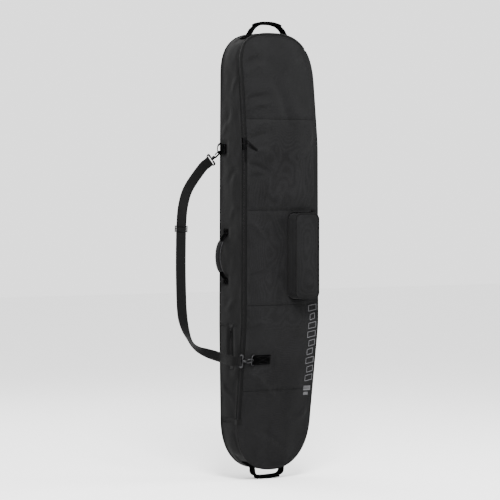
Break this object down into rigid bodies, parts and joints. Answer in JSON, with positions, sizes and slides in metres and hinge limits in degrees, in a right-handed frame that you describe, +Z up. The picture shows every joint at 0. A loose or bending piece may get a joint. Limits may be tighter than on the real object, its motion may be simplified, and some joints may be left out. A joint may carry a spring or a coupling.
{
  "type": "snowboard bag",
  "caption": "Padded upright snowboard bag with a fold-open front on a long zipper, box pocket, grab handles and a clip-on shoulder strap.",
  "frame": {"origin": "inner crown of the top grab handle, where the bag hangs; the middle of the handle's width and length", "axes": "+Z up along the bag's length, -Y out of the front, +Y out of the flat back, -X towards the zipper and the shoulder strap"},
  "size_m": [0.5542, 0.228, 1.7457],
  "materials": {
    "outer_fabric": "matte woven polyester with a fine visible weave",
    "lining": "smooth nylon lining",
    "padding": "closed-cell foam",
    "piping": "woven binding over a cord",
    "zip_tape": "herringbone zipper tape",
    "zip_coil": "moulded nylon coil",
    "webbing": "ribbed nylon webbing with stitching",
    "gunmetal": "dark plated die-cast metal",
    "pull": "soft moulded pull"
  },
  "bodies": {
    "root": {"back_foam": "padding", "back_lining": "lining", "back_panel": "outer_fabric", "back_piping": "piping", "bottom_handle_anchor_left": "webbing", "bottom_handle_anchor_right": "webbing", "front_foam": "padding", "front_lining": "lining", "front_panel": "outer_fabric", "gusset_bottom": "outer_fabric", "gusset_foam": "padding", "gusset_lining": "lining", "gusset_right_side": "outer_fabric", "gusset_top": "outer_fabric", "gusset_zip_side": "outer_fabric", "id_pocket_pouch": "lining", "id_zip_tape": "zip_tape", "lower_dring_tab": "webbing", "lower_hook_eye": "gunmetal", "pocket_piping": "piping", "pocket_shell": "outer_fabric", "pocket_zip_tape": "zip_tape", "side_handle_anchor_lower": "webbing", "side_handle_anchor_upper": "webbing", "strap_webbing": "webbing", "top_handle": "webbing", "upper_dring_tab": "webbing", "upper_hook_eye": "gunmetal", "zip_coil_front": "zip_coil", "zip_end_patch": "zip_tape", "zip_tape_front": "zip_tape", "zip_tape_gusset": "zip_tape"},
    "flap": {"flap_foam": "padding", "flap_lining": "lining", "flap_panel": "outer_fabric", "zip_coil_flap": "zip_coil", "zip_tape_flap": "zip_tape"},
    "upper_slider": {"upper_slider": "gunmetal"},
    "lower_slider": {"lower_slider": "gunmetal"},
    "upper_pull": {"upper_pull_tab": "pull", "upper_puller": "gunmetal"},
    "lower_pull": {"lower_pull_tab": "pull", "lower_puller": "gunmetal"},
    "pocket_slider": {"pocket_slider": "gunmetal"},
    "pocket_pull": {"pocket_pull": "pull"},
    "id_slider": {"id_slider": "gunmetal"},
    "id_pull": {"id_pull": "pull"},
    "bottom_handle": {"bottom_handle": "webbing"},
    "side_handle": {"side_handle": "webbing", "side_handle_wrap": "outer_fabric"},
    "upper_ring": {"upper_dring": "gunmetal"},
    "lower_ring": {"lower_dring": "gunmetal"},
    "upper_hook": {"upper_hook": "gunmetal"},
    "lower_hook": {"lower_hook": "gunmetal"},
    "upper_gate": {"upper_hook_gate": "gunmetal"},
    "lower_gate": {"lower_hook_gate": "gunmetal"},
    "adjuster": {"adjuster_tail": "webbing", "strap_adjuster": "gunmetal"}
  },
  "joints": [
    {"name": "flap_fold", "type": "hinge", "parent": "root", "child": "flap", "pos_m": [-0.1703, -0.1045, -1.2], "axis": [0.2771, 0, 0.9608], "range_deg": [0, 75]},
    {"name": "upper_slider_travel", "type": "slide", "parent": "flap", "child": "upper_slider", "axis": [0.0078, 0.1049, 0.9945], "range_m": [0, 0.225]},
    {"name": "lower_slider_travel", "type": "slide", "parent": "flap", "child": "lower_slider", "axis": [-0.0044, 0, -1], "range_m": [0, 0.66]},
    {"name": "upper_pull_lift", "type": "hinge", "parent": "upper_slider", "child": "upper_pull", "pos_m": [-0.1644, -0.10485, -0.44788], "axis": [-0.5979, -0.0841, -0.7972], "range_deg": [0, 100]},
    {"name": "lower_pull_lift", "type": "hinge", "parent": "lower_slider", "child": "lower_pull", "pos_m": [-0.16455, -0.1062, -0.47352], "axis": [-1, 0, 0], "range_deg": [0, 100]},
    {"name": "pocket_slider_travel", "type": "slide", "parent": "root", "child": "pocket_slider", "axis": [-1, 0, 0], "range_m": [0, 0.05]},
    {"name": "pocket_pull_lift", "type": "hinge", "parent": "pocket_slider", "child": "pocket_pull", "pos_m": [0.122, -0.128, -0.7157], "axis": [-1, 0, 0], "range_deg": [0, 120]},
    {"name": "id_slider_travel", "type": "slide", "parent": "root", "child": "id_slider", "axis": [0.014, 0, -0.9999], "range_m": [0, 0.12]},
    {"name": "id_pull_lift", "type": "hinge", "parent": "id_slider", "child": "id_pull", "pos_m": [-0.17699, -0.015, -1.17209], "axis": [0, 1, 0], "range_deg": [0, 120]},
    {"name": "bottom_handle_swing", "type": "hinge", "parent": "root", "child": "bottom_handle", "pos_m": [0, 0, -1.703], "axis": [1, 0, 0], "range_deg": [-25, 25]},
    {"name": "side_handle_swing", "type": "hinge", "parent": "root", "child": "side_handle", "pos_m": [-0.17343, 0.025, -0.89], "axis": [0, 0, 1], "range_deg": [-28, 28]},
    {"name": "upper_ring_swing", "type": "hinge", "parent": "root", "child": "upper_ring", "pos_m": [-0.17257, 0.054, -0.478], "axis": [0, 0, 1], "range_deg": [-4, 4]},
    {"name": "lower_ring_swing", "type": "hinge", "parent": "root", "child": "lower_ring", "pos_m": [-0.117, -0.08638, -1.28357], "axis": [0, 0.1333, -0.9911], "range_deg": [-1, 4]},
    {"name": "upper_hook_swivel", "type": "hinge", "parent": "root", "child": "upper_hook", "pos_m": [-0.22479, 0.054, -0.52456], "axis": [0.783, 0, 0.622], "range_deg": [-4, 40]},
    {"name": "lower_hook_swivel", "type": "hinge", "parent": "root", "child": "lower_hook", "pos_m": [-0.18255, -0.09201, -1.28433], "axis": [0.9976, -0.0692, -0.0093], "range_deg": [-1, 9]},
    {"name": "upper_gate_press", "type": "hinge", "parent": "upper_hook", "child": "upper_gate", "pos_m": [-0.20529, 0.04839, -0.50215], "axis": [-0.4474, 0.6947, 0.5633], "range_deg": [0, 22], "stiffness_Nm_per_rad": 0.05},
    {"name": "lower_gate_press", "type": "hinge", "parent": "lower_hook", "child": "lower_gate", "pos_m": [-0.15382, -0.1003, -1.27998], "axis": [0.0485, 0.5909, 0.8053], "range_deg": [0, 22], "stiffness_Nm_per_rad": 0.05},
    {"name": "adjuster_travel", "type": "slide", "parent": "root", "child": "adjuster", "axis": [-0.0646, -0.0431, -0.997], "range_m": [0, 0.035]}
  ]
}
